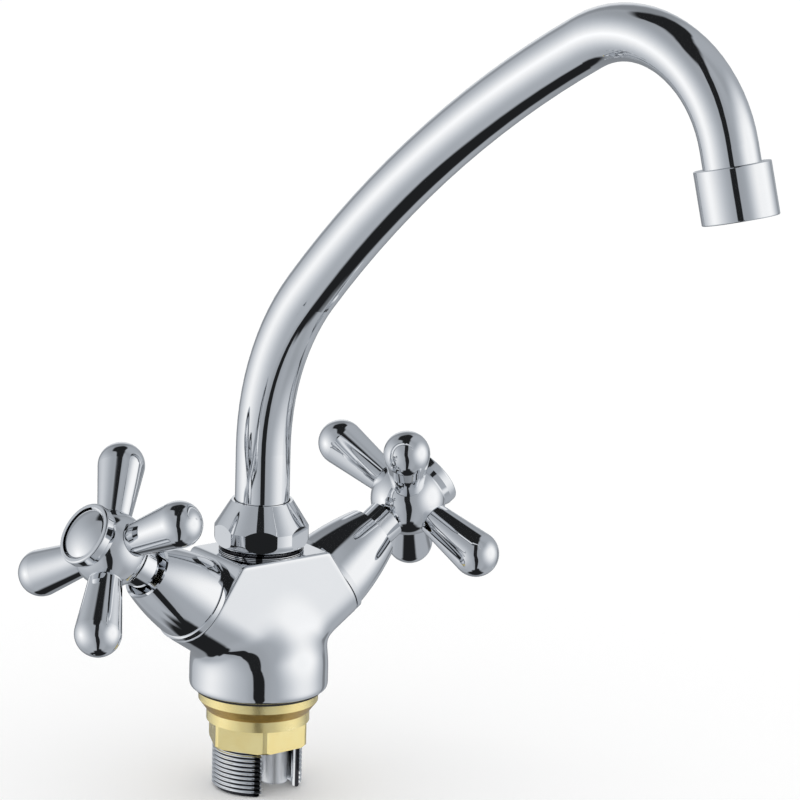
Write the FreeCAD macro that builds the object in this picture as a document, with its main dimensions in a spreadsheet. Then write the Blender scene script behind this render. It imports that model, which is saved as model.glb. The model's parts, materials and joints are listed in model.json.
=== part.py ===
import FreeCAD, Part
import math
import os
import Sketcher

# Kitchen mixer tap with two cross handles and a swivel spout. Millimetres and degrees.
# The origin is the centre of the body's underside, where it stands on the sink or worktop.
# +Z is up, -Y is the front, and the handles lie along -X (hot) and +X (cold).

DRIVING_SIZES = {
    # body casting
    "base_radius": 25.0,
    "base_edge_round": 0.8,
    "apron_start_height": 1.5,
    "apron_height": 31.0,
    "face_inset": 0.15,
    "body_top_height": 51.0,
    "body_edge_round": 0.5,
    "arm_meet_height": 17.4,
    "arm_tilt": 33.68,
    "arm_radius": 16.4,
    "arm_length": 34.4,
    "arm_blend_radius": 9.0,
    "blend_head_room": 7.0,
    # spout socket on the body
    "boss_collar_radius": 15.4,
    "boss_collar_height": 1.2,
    "boss_thread_radius": 13.1,
    "boss_height": 8.6,
    "spout_bore_radius": 10.4,
    "spout_bore_depth": 12.5,
    "mixing_radius": 6.0,
    "mixing_depth": 3.5,
    # water ways
    "inlet_tube_radius": 4.7,
    "inlet_tube_gap": 0.4,
    "inlet_tube_wall": 1.5,
    "inlet_tube_edge_round": 0.5,
    "inlet_thread_radius": 3.5,
    "inlet_thread_length": 10.0,
    "inlet_seat_depth": 10.0,
    "seat_way_radius": 4.2,
    "seat_way_start": 6.5,
    "port_radius": 2.6,
    "port_distance": 18.5,
    # valve socket in each arm, measured along the arm from where the arms meet
    "valve_seat_distance": 12.0,
    "valve_chamber_radius": 8.8,
    "valve_thread_radius": 10.0,
    "valve_thread_length": 10.0,
    "thread_clearance": 0.05,
    "cutting_spare": 1.0,
    # below the sink
    "shank_radius": 15.7,
    "shank_bore_radius": 13.0,
    "shank_length": 37.5,
    "shank_socket_depth": 8.0,
    "shank_slot_width": 18.6,
    "shank_slot_angle": 6.6,
    "shank_slot_top": 8.0,
    "shank_end_chamfer": 0.8,
    "gasket_radius": 21.9,
    "gasket_recess": 1.2,
    "gasket_proud": 0.6,
    "washer_radius": 21.6,
    "washer_rim_height": 3.9,
    "washer_foot_radius": 18.6,
    "washer_height": 7.8,
    "shank_clearance": 0.1,
    "locknut_collar_radius": 18.6,
    "locknut_collar_height": 3.8,
    "locknut_hex_height": 8.5,
    "locknut_across_flats": 33.0,
    "locknut_angle": 3.4,
    "locknut_chamfer": 0.7,
    # spout nut and its rings
    "nut_gap": 0.3,
    "nut_radius": 16.9,
    "nut_foot_radius": 14.2,
    "nut_foot_height": 3.5,
    "nut_foot_curve_radius": 4.0,
    "nut_wall_height": 4.0,
    "nut_top_radius": 11.0,
    "nut_cone_height": 9.6,
    "nut_across_flats": 31.8,
    "nut_angle": -35.0,
    "slip_ring_thickness": 0.7,
    "slip_ring_clearance": 0.2,
    "retaining_washer_thickness": 0.8,
    "swivel_gap": 0.35,
    "running_clearance": 0.08,
    # spout
    "spout_azimuth": -80.0,
    "tube_radius": 9.77,
    "tube_wall": 1.0,
    "tube_rise": 27.6,
    "lower_bend_radius": 97.9,
    "lower_bend_angle": 39.5,
    "long_bend_radius": 489.0,
    "long_bend_angle": 19.6,
    "upper_bend_radius": 42.4,
    "upper_bend_angle": 105.6,
    "tube_run_out": 6.35,
    "tube_in_sleeve": 6.0,
    "tail_floor_gap": 0.5,
    "tail_bore_radius": 7.2,
    "tail_collar_radius": 12.4,
    "tail_collar_height": 2.4,
    "tail_neck_radius": 11.0,
    "tail_neck_height": 3.3,
    "braze_gap": 0.03,
    "spout_ring_section": 0.9,
    "spout_ring_groove_width": 2.2,
    "lower_groove_height": 3.0,
    "groove_pitch": 5.2,
    # outlet
    "sleeve_radius": 13.0,
    "sleeve_length": 18.15,
    "sleeve_edge_round": 0.5,
    "sleeve_stop_radius": 8.4,
    "sleeve_stop_length": 1.0,
    "aerator_radius": 10.7,
    "aerator_recess": 1.1,
    "aerator_seal_thickness": 1.6,
    "aerator_seal_bore": 8.0,
    "aerator_wall": 1.2,
    "aerator_floor": 1.6,
    "aerator_hole_radius": 0.95,
    "aerator_hole_pitch": 3.65,
    "screen_thickness": 0.5,
    # cartridge
    "seal_radius": 7.3,
    "seal_bore_radius": 5.5,
    "seal_height": 1.9,
    "disc_radius": 7.3,
    "disc_height": 3.0,
    "moving_disc_height": 2.5,
    "disc_port_radius": 5.3,
    "disc_port_edge": 1.0,
    "skirt_radius": 8.6,
    "skirt_gap": 0.2,
    "skirt_bore_clearance": 0.2,
    "skirt_start": 0.6,
    "window_width": 7.0,
    "window_height": 4.6,
    "flange_seal_height": 0.6,
    "flange_seal_radius": 12.2,
    "flange_across_flats": 21.5,
    "flange_height": 4.4,
    "neck_radius": 7.5,
    "neck_end_distance": 54.0,
    # spindle
    "driver_radius": 6.9,
    "driver_height": 3.0,
    "spindle_radius": 5.0,
    "spindle_clearance": 0.06,
    "spindle_ring_section": 0.6,
    "spindle_ring_groove_width": 1.5,
    "spindle_ring_distance": 44.0,
    "spindle_ring_pitch": 4.0,
    "clip_gap": 0.2,
    "clip_thickness": 0.8,
    "clip_radius": 6.4,
    "clip_groove_radius": 4.3,
    "spline_radius": 3.9,
    "spline_root_radius": 3.5,
    "spline_shoulder_gap": 0.4,
    "spline_end": 73.0,
    "spline_count": 12,
    "screw_radius": 1.9,
    "screw_length": 17.0,
    "screw_head_radius": 3.6,
    "screw_head_height": 2.6,
    "screw_slot_width": 0.8,
    "screw_slot_depth": 1.2,
    # shroud
    "shroud_foot_radius": 16.2,
    "shroud_foot_height": 1.9,
    "shroud_radius": 15.6,
    "shroud_mouth_radius": 10.4,
    "shroud_end_distance": 59.0,
    "shroud_curve_radius": 95.0,
    "shroud_wall": 1.1,
    "shroud_web_distance": 44.5,
    "shroud_web_height": 2.0,
    # handle
    "hub_distance": 78.1,
    "hub_radius": 13.7,
    "hub_barrel_radius": 7.4,
    "hub_barrel_start": 56.0,
    "hub_rim_radius": 11.6,
    "hub_rim_height": 13.5,
    "hub_rim_round": 0.8,
    "hub_rim_side_height": 3.2,
    "hub_waist_radius": 10.9,
    "cap_radius": 9.8,
    "cap_seat_depth": 2.9,
    "cap_rim_height": 2.3,
    "cap_rim_width": 0.7,
    "cap_dish_depth": 1.2,
    "cap_clearance": 0.1,
    "screw_well_radius": 4.4,
    "socket_clearance": 0.05,
    "socket_end_gap": 1.0,
    "hub_web_height": 5.0,
    "handle_arm_seat": 12.3,
    "handle_arm_root_radius": 6.0,
    "handle_arm_tip_distance": 33.66,
    "handle_arm_tip_radius": 8.42,
    "handle_arm_stub_radius": 3.0,
    "handle_arm_stub_length": 4.3,
    "handle_arm_seam": 0.3,
    "handle_arm_count": 4,
    "hot_handle_angle": 31.1,
    "cold_handle_angle": -55.4,
}


class Size:
    """A number together with the spreadsheet expression that gives it."""

    def __init__(self, text, value):
        self.text = text
        self.value = value

    def __add__(self, other):
        other = as_size(other)
        return Size("(%s + %s)" % (self.text, other.text), self.value + other.value)

    def __sub__(self, other):
        other = as_size(other)
        return Size("(%s - %s)" % (self.text, other.text), self.value - other.value)

    def __mul__(self, other):
        other = as_size(other)
        return Size("(%s * %s)" % (self.text, other.text), self.value * other.value)

    def __truediv__(self, other):
        other = as_size(other)
        return Size("(%s / %s)" % (self.text, other.text), self.value / other.value)

    def __neg__(self):
        return Size("(0 - %s)" % self.text, -self.value)


def as_size(number):
    if isinstance(number, Size):
        return number
    return Size(repr(float(number)), float(number))


def sine(angle):
    return Size("sin(%s)" % angle.text, math.sin(math.radians(angle.value)))


def cosine(angle):
    return Size("cos(%s)" % angle.text, math.cos(math.radians(angle.value)))


def root(number):
    return Size("sqrt(%s)" % number.text, math.sqrt(number.value))


doc = FreeCAD.newDocument("kitchen_mixer_tap")
sheet = doc.addObject("Spreadsheet::Sheet", "sizes")
for row, (alias, number) in enumerate(DRIVING_SIZES.items(), start=1):
    sheet.set("A%d" % row, alias)
    sheet.set("B%d" % row, str(number))
    sheet.setAlias("B%d" % row, alias)
doc.recompute()


def size(alias):
    return Size("sizes." + alias, float(sheet.get(alias)))


sub_parts = []


def keep(obj, label):
    """Marks an object as a sub-part that is written to its own file."""
    obj.Label = label
    sub_parts.append(obj)
    return obj


def bind(obj, bindings):
    """Ties properties such as Radius or Placement.Base.z to sheet sizes."""
    for path, value in bindings.items():
        obj.setExpression(path, as_size(value).text)


# Frames: each piece is drawn about its own Z axis and then placed.

UP = FreeCAD.Vector(0, 0, 1)
ACROSS = FreeCAD.Vector(0, 1, 0)
NO_TURN = FreeCAD.Rotation()
RIGHT_ANGLE = 90.0
FULL_TURN = 360.0


def standing(height, across=0.0):
    """Upright, its own zero at this height and this far to the side of the body's axis."""
    return FreeCAD.Placement(FreeCAD.Vector(as_size(across).value, 0, as_size(height).value), NO_TURN)


def arm_frame(side, distance=0.0, turn=0.0):
    """Along a valve arm: side is -1 for hot and +1 for cold, distance is from where the arms meet."""
    lean = RIGHT_ANGLE - size("arm_tilt").value
    tilt = FreeCAD.Rotation(ACROSS, side*lean)
    along = tilt.multVec(UP)
    start = FreeCAD.Vector(0, 0, size("arm_meet_height").value)
    spin = FreeCAD.Rotation(UP, turn)
    return FreeCAD.Placement(start + along*as_size(distance).value, tilt.multiply(spin))


def origin_plane(body, role):
    for feature in body.Origin.OriginFeatures:
        if feature.Role == role:
            return feature
    raise ValueError(role)


# Outlines. A corner is (across, up), or (across, up, radius, bend) where the edge that leaves it
# is an arc of that radius that bends "left" or "right" on the way to the next corner.


def arc_between(start, end, radius, bend):
    chord = end - start
    half = chord.Length/2
    rise = math.sqrt(max(radius**2 - half**2, 0.0))
    side = 1 if bend == "left" else -1
    normal = FreeCAD.Vector(-chord.y, chord.x, 0).normalize()
    centre = start + chord*0.5 + normal*(rise*side)
    first, last = (start, end) if bend == "left" else (end, start)
    first_angle = math.atan2(first.y - centre.y, first.x - centre.x)
    last_angle = math.atan2(last.y - centre.y, last.x - centre.x)
    circle = Part.Circle(centre, UP, radius)
    return Part.ArcOfCircle(circle, first_angle, last_angle)


def pin_coordinate(sketch, kind, axis, edge, point, value):
    """Fixes one coordinate of a corner to a sheet size, or puts it on the axis where it is 0."""
    if not isinstance(value, Size) and value == 0:
        sketch.addConstraint(Sketcher.Constraint("PointOnObject", edge, point, axis))
        return
    value = as_size(value)
    index = sketch.addConstraint(Sketcher.Constraint(kind, -1, 1, edge, point, value.value))
    sketch.setExpression("Constraints[%d]" % index, value.text)


def draw_outline(sketch, corners):
    """Draws a closed outline with every corner and radius tied to the sheet."""
    points = [FreeCAD.Vector(as_size(c[0]).value, as_size(c[1]).value, 0) for c in corners]
    edges = []
    for index, corner in enumerate(corners):
        start = points[index]
        end = points[(index + 1) % len(points)]
        if len(corner) == 2:
            geometry = Part.LineSegment(start, end)
            ends = (1, 2)
        else:
            geometry = arc_between(start, end, as_size(corner[2]).value, corner[3])
            ends = (1, 2) if corner[3] == "left" else (2, 1)
        edges.append((sketch.addGeometry(geometry, False), ends))
    for index, corner in enumerate(corners):
        edge, ends = edges[index]
        before, ends_before = edges[index - 1]
        sketch.addConstraint(Sketcher.Constraint("Coincident", before, ends_before[1], edge, ends[0]))
        pin_coordinate(sketch, "DistanceX", -2, edge, ends[0], corner[0])
        pin_coordinate(sketch, "DistanceY", -1, edge, ends[0], corner[1])
        if len(corner) > 2:
            radius = as_size(corner[2])
            number = sketch.addConstraint(Sketcher.Constraint("Radius", edge, radius.value))
            sketch.setExpression("Constraints[%d]" % number, radius.text)


def body_sketch(body, name, role):
    sketch = body.newObject("Sketcher::SketchObject", name)
    sketch.AttachmentSupport = (origin_plane(body, role), "")
    sketch.MapMode = "FlatFace"
    return sketch


def turned(name, corners, placement):
    """A piece made on a lathe: the outline (radius, height) turned about its own Z axis."""
    body = doc.addObject("PartDesign::Body", name)
    sketch = body_sketch(body, name + "_outline", "XZ_Plane")
    draw_outline(sketch, corners)
    turn = body.newObject("PartDesign::Revolution", name + "_turn")
    turn.Profile = sketch
    turn.ReferenceAxis = (sketch, ["V_Axis"])
    turn.Angle = FULL_TURN
    sketch.Visibility = False
    body.Placement = placement
    return body


def padded(name, plane, corners, length):
    """A piece of even thickness: the outline padded to both sides of its plane."""
    body = doc.addObject("PartDesign::Body", name)
    sketch = body_sketch(body, name + "_outline", plane)
    draw_outline(sketch, corners)
    pad = body.newObject("PartDesign::Pad", name + "_pad")
    pad.Profile = sketch
    pad.setExpression("Length", length.text)
    pad.Midplane = True
    return body


def ring(name, outer, inner, bottom, top, placement):
    return turned(name, [(inner, bottom), (outer, bottom), (outer, top), (inner, top)], placement)


def cylinder(name, radius, length, placement):
    shape = doc.addObject("Part::Cylinder", name)
    bind(shape, {"Radius": radius, "Height": length})
    shape.Placement = placement
    return shape


def torus(name, centre_radius, section, placement):
    shape = doc.addObject("Part::Torus", name)
    bind(shape, {"Radius1": centre_radius, "Radius2": section})
    shape.Placement = placement
    return shape


def hexagon(name, across_flats, length, placement):
    shape = doc.addObject("Part::Prism", name)
    shape.Polygon = 6
    bind(shape, {"Circumradius": across_flats/root(as_size(3)), "Height": length})
    shape.Placement = placement
    return shape


def fused(name, pieces):
    shape = doc.addObject("Part::MultiFuse", name)
    shape.Shapes = pieces
    return shape


def cut(name, base, tool):
    shape = doc.addObject("Part::Cut", name)
    shape.Base = base
    shape.Tool = tool
    return shape


def common(name, first, second):
    shape = doc.addObject("Part::MultiCommon", name)
    shape.Shapes = [first, second]
    return shape


SIDES = (("hot", -1), ("cold", 1))


# Body casting

CLOSE = 0.001
base_radius = size("base_radius")
arm_radius = size("arm_radius")
arm_end = size("arm_length")
spare = size("cutting_spare")
top_height = size("body_top_height")
meet_height = size("arm_meet_height")
tilt_sine = sine(size("arm_tilt"))
tilt_cosine = cosine(size("arm_tilt"))
foot_blank_height = size("apron_height") + size("blend_head_room")
blank_top = top_height + spare
arm_blank_length = (blank_top - meet_height)/tilt_sine
boss_top = top_height + size("boss_height")
bore_floor = top_height - size("spout_bore_depth")
mixing_floor = bore_floor - size("mixing_depth")
valve_thread_start = arm_end - size("valve_thread_length")
shank_socket_radius = size("shank_radius") + size("thread_clearance")
inlet_offset = size("shank_bore_radius") - size("inlet_tube_gap") - size("inlet_tube_radius")
inlet_top = size("shank_socket_depth") + size("inlet_seat_depth")
inlet_seat_radius = size("inlet_tube_radius") + size("thread_clearance")
inlet_bore_radius = size("inlet_tube_radius") - size("inlet_tube_wall")


def make_foot_blank():
    """The round foot, with its seam at the back."""
    place = FreeCAD.Placement(FreeCAD.Vector(), FreeCAD.Rotation(UP, RIGHT_ANGLE))
    return cylinder("foot", base_radius, foot_blank_height, place)


def make_arm_blank(word, side):
    """A valve arm drawn too long, with its seam on its upper side."""
    place = arm_frame(side, 0.0, RIGHT_ANGLE*(side + 1))
    return cylinder(word + "_arm", arm_radius, arm_blank_length, place)


def make_web():
    """The flat-faced block that fills the angle between the arms."""
    half_width = arm_blank_length*tilt_cosine
    corners = [(0, meet_height), (half_width, blank_top), (-half_width, blank_top)]
    return padded("web", "XZ_Plane", corners, arm_radius*2)


def make_front_outline():
    """Trims the blank to its flat top and to the arms' square ends."""
    top_half_width = (arm_end - (top_height - meet_height)*tilt_sine)/tilt_cosine
    reach = arm_radius + spare
    end_width = arm_end*tilt_cosine + reach*tilt_sine
    end_height = meet_height + arm_end*tilt_sine - reach*tilt_cosine
    return padded("front_outline", "XZ_Plane", [
        (-end_width, -spare), (end_width, -spare), (end_width, end_height), (top_half_width, top_height),
        (-top_half_width, top_height), (-end_width, end_height),
    ], (base_radius + spare)*2)


def make_side_outline():
    """Trims the front and the back: an S-shaped curve from the full foot up to the flat faces."""
    wall = size("apron_start_height")
    flat_start = size("apron_height")
    depth = arm_radius - size("face_inset")
    inset = base_radius - depth
    rise = flat_start - wall
    curve = (inset*inset + rise*rise)/(inset*4)
    middle_depth = (base_radius + depth)/2
    middle_height = (wall + flat_start)/2
    return padded("side_outline", "YZ_Plane", [
        (base_radius, -spare), (base_radius, wall, curve, "left"),
        (middle_depth, middle_height, curve, "right"), (depth, flat_start), (depth, blank_top),
        (-depth, blank_top), (-depth, flat_start, curve, "right"),
        (-middle_depth, middle_height, curve, "left"), (-base_radius, wall), (-base_radius, -spare),
    ], arm_blank_length*2)


def rounded(name, base, chosen):
    """Rounds the edges of a finished shape: chosen gives each edge its radius, or None to leave it."""
    base.Refine = True
    doc.recompute()
    shape = doc.addObject("Part::Fillet", name)
    shape.Base = base
    edges = []
    for number, edge in enumerate(base.Shape.Edges, start=1):
        radius = chosen(edge)
        if radius:
            edges.append((number, radius.value, radius.value))
    shape.Edges = edges
    return shape


def arm_joint(edge):
    """The curves where the arms run into the round foot's wall."""
    points = [vertex.Point for vertex in edge.Vertexes]
    points.append(edge.valueAt((edge.FirstParameter + edge.LastParameter)/2))
    on_wall = all(abs(math.hypot(point.x, point.y) - base_radius.value) < CLOSE for point in points)
    low = edge.BoundBox.ZMin
    if on_wall and len(edge.Vertexes) == 2 and spare.value < low < foot_blank_height.value - CLOSE:
        return size("arm_blend_radius")
    return None


def outer_rim(edge):
    """The rims of the flat top and of the underside."""
    if edge.BoundBox.ZMin > top_height.value - CLOSE:
        return size("body_edge_round")
    if edge.BoundBox.ZMax < CLOSE:
        return size("base_edge_round")
    return None


def make_casting():
    blanks = [make_foot_blank()]
    for word, side in SIDES:
        blanks.append(make_arm_blank(word, side))
    blanks.append(make_web())
    blended = rounded("blended_casting", fused("foot_and_arms", blanks), arm_joint)
    trimmed = common("trimmed_casting", common("front_trimmed_casting", blended, make_front_outline()),
                     make_side_outline())
    smooth = rounded("rounded_casting", trimmed, outer_rim)
    top = standing(top_height)
    collar = cylinder("boss_collar", size("boss_collar_radius"), size("boss_collar_height"), top)
    thread = cylinder("boss_thread", size("boss_thread_radius"), size("boss_height"), top)
    blank = fused("casting_blank", [smooth, collar, thread])
    return cut("body_casting_shape", blank, fused("water_ways", make_water_ways()))


def make_water_ways():
    """Everything that is bored out of the casting."""
    socket_depth = size("shank_socket_depth")
    inlet_way_top = meet_height + inlet_offset*tilt_sine/tilt_cosine
    seat = size("valve_seat_distance")
    seat_way_start = size("seat_way_start")
    thread_radius = size("valve_thread_radius") + size("thread_clearance")
    bore_length = boss_top - bore_floor + spare
    ways = [
        cylinder("spout_bore", size("spout_bore_radius"), bore_length, standing(bore_floor)),
        cylinder("mixing_bore", size("mixing_radius"), size("mixing_depth") + spare, standing(mixing_floor)),
        cylinder("shank_socket", shank_socket_radius, socket_depth, standing(0)),
        cylinder("gasket_seat", size("gasket_radius"), size("gasket_recess"), standing(0)),
    ]
    for word, side in SIDES:
        inlet_start = socket_depth - spare
        inlet_place = standing(inlet_start, inlet_offset*side)
        ways += [
            cylinder(word + "_inlet", inlet_seat_radius, inlet_top - inlet_start, inlet_place),
            cylinder(word + "_inlet_way", inlet_bore_radius, inlet_way_top - inlet_start, inlet_place),
            cylinder(word + "_seat_way", size("seat_way_radius"), seat - seat_way_start + spare,
                     arm_frame(side, seat_way_start)),
            cylinder(word + "_chamber", size("valve_chamber_radius"), valve_thread_start - seat + spare,
                     arm_frame(side, seat)),
            cylinder(word + "_thread", thread_radius, arm_end - valve_thread_start + spare,
                     arm_frame(side, valve_thread_start)),
            make_port(word, side),
        ]
    return ways


def make_port(word, side):
    """The drilling that leads mixed water from a valve chamber to the bottom of the spout bore."""
    radius = size("port_radius")
    chamber = arm_frame(side, size("port_distance")).Base
    outlet = FreeCAD.Vector(side*radius.value, 0, (mixing_floor + radius).value)
    direction = chamber - outlet
    place = FreeCAD.Placement(outlet, FreeCAD.Rotation(UP, direction))
    return cylinder(word + "_port", radius, direction.Length, place)


keep(make_casting(), "body_casting")


# Pieces below the sink

gasket_bottom = -size("gasket_proud")
washer_bottom = gasket_bottom - size("washer_height")
shank_hole = size("shank_radius") + size("shank_clearance")


def make_shank():
    """The threaded tube that goes down through the sink, with a wide slot at the front."""
    length = size("shank_length") + size("shank_socket_depth")
    chamfer = size("shank_end_chamfer")
    radius = size("shank_radius")
    bore = size("shank_bore_radius")
    blank = turned("shank_blank", [(bore, 0), (radius - chamfer, 0), (radius, chamfer), (radius, length),
                                   (bore, length)], standing(-size("shank_length")))
    slot = doc.addObject("Part::Box", "shank_slot")
    width = size("shank_slot_width")
    reach = radius + spare
    bottom = -size("shank_length") - spare
    bind(slot, {"Length": width, "Width": reach, "Height": -size("shank_slot_top") - bottom})
    turn = FreeCAD.Rotation(UP, size("shank_slot_angle").value)
    corner = FreeCAD.Vector(-width.value/2, -reach.value, bottom.value)
    slot.Placement = FreeCAD.Placement(turn.multVec(corner), turn)
    return cut("shank", blank, slot)


def make_inlet_tube(word, side):
    """A supply tube, screwed into the casting, that comes down to the shank's end and takes a hose there."""
    outer = size("inlet_tube_radius")
    edge = size("inlet_tube_edge_round")
    length = size("shank_length") + inlet_top
    thread = size("inlet_thread_radius")
    thread_end = size("inlet_thread_length")
    return turned(word + "_tube", [
        (thread, 0), (outer - edge, 0, edge, "left"), (outer, edge), (outer, length),
        (inlet_bore_radius, length), (inlet_bore_radius, thread_end), (thread, thread_end),
    ], standing(-size("shank_length"), inlet_offset*side))


def make_locknut():
    """A brass nut: a hexagon with a round collar above it that bears on the washer."""
    hex_height = size("locknut_hex_height")
    height = hex_height + size("locknut_collar_height")
    chamfer = size("locknut_chamfer")
    collar = size("locknut_collar_radius")
    place = standing(washer_bottom - height)
    round_part = ring("locknut_round", collar, shank_hole, hex_height, height, place)
    trim = turned("locknut_trim", [(shank_hole, 0), (collar - chamfer, 0), (collar, chamfer),
                                   (collar, hex_height), (shank_hole, hex_height)], place)
    turned_place = FreeCAD.Placement(place.Base, FreeCAD.Rotation(UP, size("locknut_angle").value))
    hexagonal = hexagon("locknut_hex", size("locknut_across_flats"), hex_height, turned_place)
    return fused("locknut_shape", [round_part, common("locknut_lower", hexagonal, trim)])


keep(make_shank(), "threaded_shank")
for word, side in SIDES:
    keep(make_inlet_tube(word, side), word + "_inlet_tube")
keep(ring("gasket", size("gasket_radius"), shank_hole, gasket_bottom, size("gasket_recess"), standing(0)),
     "base_gasket")
keep(turned("cone_washer", [
    (shank_hole, 0), (size("washer_foot_radius"), 0),
    (size("washer_radius"), size("washer_height") - size("washer_rim_height")),
    (size("washer_radius"), size("washer_height")), (shank_hole, size("washer_height")),
], standing(washer_bottom)), "cone_washer")
keep(make_locknut(), "brass_locknut")


# Spout nut, slip ring and retaining washer

swivel_gap = size("swivel_gap")
collar_bottom_height = boss_top + size("slip_ring_thickness")
collar_top_height = collar_bottom_height + size("tail_collar_height")
washer_top_height = collar_top_height + size("retaining_washer_thickness")
neck_top_height = collar_top_height + size("tail_neck_height")
nut_bottom_height = top_height + size("boss_collar_height") + size("nut_gap")
nut_cavity_radius = size("tail_collar_radius") + swivel_gap
nut_throat_radius = size("tail_neck_radius") + swivel_gap
nut_mouth_radius = size("tube_radius") + swivel_gap
loose_ring_radius = nut_cavity_radius - size("thread_clearance")


def make_spout_nut():
    """A turned nut with a tall cone above and six flats milled into its side."""
    foot = size("nut_foot_height")
    wall = foot + size("nut_wall_height")
    cone = wall + size("nut_cone_height")
    radius = size("nut_radius")
    thread = size("boss_thread_radius") + size("thread_clearance")
    mouth_start = neck_top_height + swivel_gap - nut_bottom_height
    thread_top = boss_top + size("thread_clearance") - nut_bottom_height
    cavity_top = washer_top_height - nut_bottom_height
    corners = [
        (thread, 0), (size("nut_foot_radius"), 0, size("nut_foot_curve_radius"), "left"),
        (radius, foot), (radius, wall),
        (size("nut_top_radius"), cone), (nut_mouth_radius, cone), (nut_mouth_radius, mouth_start),
        (nut_throat_radius, mouth_start), (nut_throat_radius, cavity_top), (nut_cavity_radius, cavity_top),
        (nut_cavity_radius, thread_top), (thread, thread_top),
    ]
    blank = turned("nut_blank", corners, standing(nut_bottom_height))
    turn = FreeCAD.Rotation(UP, size("nut_angle").value)
    place = FreeCAD.Placement(standing(nut_bottom_height - spare).Base, turn)
    flats = hexagon("nut_flats", size("nut_across_flats"), cone + spare*2, place)
    return common("spout_nut_shape", flats, blank)


keep(make_spout_nut(), "spout_nut")
keep(ring("slip_ring", loose_ring_radius, size("spout_bore_radius") + size("slip_ring_clearance"),
          boss_top, collar_bottom_height, standing(0)), "spout_slip_ring")
keep(ring("retaining_ring", loose_ring_radius, nut_throat_radius, collar_top_height, washer_top_height,
          standing(0)), "retaining_washer")


# Spout: a bent tube brazed into a tail below and a sleeve at the outlet

tube_radius = size("tube_radius")
tube_start_height = collar_bottom_height
spout_turn = FreeCAD.Rotation(UP, size("spout_azimuth").value)


def spout_frame(height=0.0):
    return FreeCAD.Placement(FreeCAD.Vector(0, 0, as_size(height).value), spout_turn)


def spout_route():
    """The tube's centre line in the spout's own plane: points, arc middles and end direction."""
    heading = RIGHT_ANGLE
    point = FreeCAD.Vector(0, size("tube_rise").value, 0)
    steps = [("line", FreeCAD.Vector(0, 0, 0), None, point)]
    for bend in ("lower", "long", "upper"):
        radius = size(bend + "_bend_radius").value
        turn = size(bend + "_bend_angle").value
        angle = math.radians(heading)
        centre = point + FreeCAD.Vector(math.sin(angle), -math.cos(angle), 0)*radius
        middle = point_on_bend(centre, radius, heading - turn/2)
        heading -= turn
        end = point_on_bend(centre, radius, heading)
        steps.append(("arc", point, middle, end))
        point = end
    run = size("tube_run_out").value + size("tube_in_sleeve").value
    direction = FreeCAD.Vector(math.cos(math.radians(heading)), math.sin(math.radians(heading)), 0)
    steps.append(("line", point, None, point + direction*run))
    return steps, direction


def point_on_bend(centre, radius, heading):
    angle = math.radians(heading + RIGHT_ANGLE)
    return centre + FreeCAD.Vector(math.cos(angle), math.sin(angle), 0)*radius


def make_tube():
    """The tube is swept along its centre line: a rise, three tangent bends and a straight end."""
    body = doc.addObject("PartDesign::Body", "tube")
    profile = body_sketch(body, "tube_section", "XY_Plane")
    for radius in (tube_radius, tube_radius - size("tube_wall")):
        circle = profile.addGeometry(Part.Circle(FreeCAD.Vector(), UP, radius.value), False)
        profile.addConstraint(Sketcher.Constraint("Coincident", circle, 3, -1, 1))
        number = profile.addConstraint(Sketcher.Constraint("Radius", circle, radius.value))
        profile.setExpression("Constraints[%d]" % number, radius.text)
    route = body_sketch(body, "tube_route", "XZ_Plane")
    steps, direction = spout_route()
    for kind, start, middle, end in steps:
        if kind == "line":
            route.addGeometry(Part.LineSegment(start, end), False)
        else:
            route.addGeometry(Part.Arc(start, middle, end), False)
    lock_route(route)
    pipe = body.newObject("PartDesign::AdditivePipe", "tube_sweep")
    pipe.Profile = profile
    pipe.Spine = (route, ["Edge%d" % number for number in range(1, len(steps) + 1)])
    body.Placement = spout_frame(tube_start_height)
    return body


def lock_route(route):
    """Ties the route to the sheet: lengths, radii, arc angles and tangent joints."""
    rise, lower, long, upper, end = range(5)
    route.addConstraint(Sketcher.Constraint("Coincident", rise, 1, -1, 1))
    route.addConstraint(Sketcher.Constraint("Vertical", rise))
    # an arc that bends right runs backwards in a sketch: its second end is where the tube enters it
    joints = [(rise, 2, lower, 2), (lower, 1, long, 2), (long, 1, upper, 2), (upper, 1, end, 1)]
    for first, first_end, second, second_end in joints:
        route.addConstraint(Sketcher.Constraint("Tangent", first, first_end, second, second_end))
    dimensions = [("Distance", rise, size("tube_rise")),
                  ("Distance", end, size("tube_run_out") + size("tube_in_sleeve"))]
    for edge, bend in ((lower, "lower"), (long, "long"), (upper, "upper")):
        dimensions.append(("Radius", edge, size(bend + "_bend_radius")))
    for kind, edge, value in dimensions:
        number = route.addConstraint(Sketcher.Constraint(kind, edge, value.value))
        route.setExpression("Constraints[%d]" % number, value.text)
    for edge, bend in ((lower, "lower"), (long, "long"), (upper, "upper")):
        turn = size(bend + "_bend_angle")
        number = route.addConstraint(Sketcher.Constraint("Angle", edge, math.radians(turn.value)))
        route.setExpression("Constraints[%d]" % number, turn.text + " * 1 deg")


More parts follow.
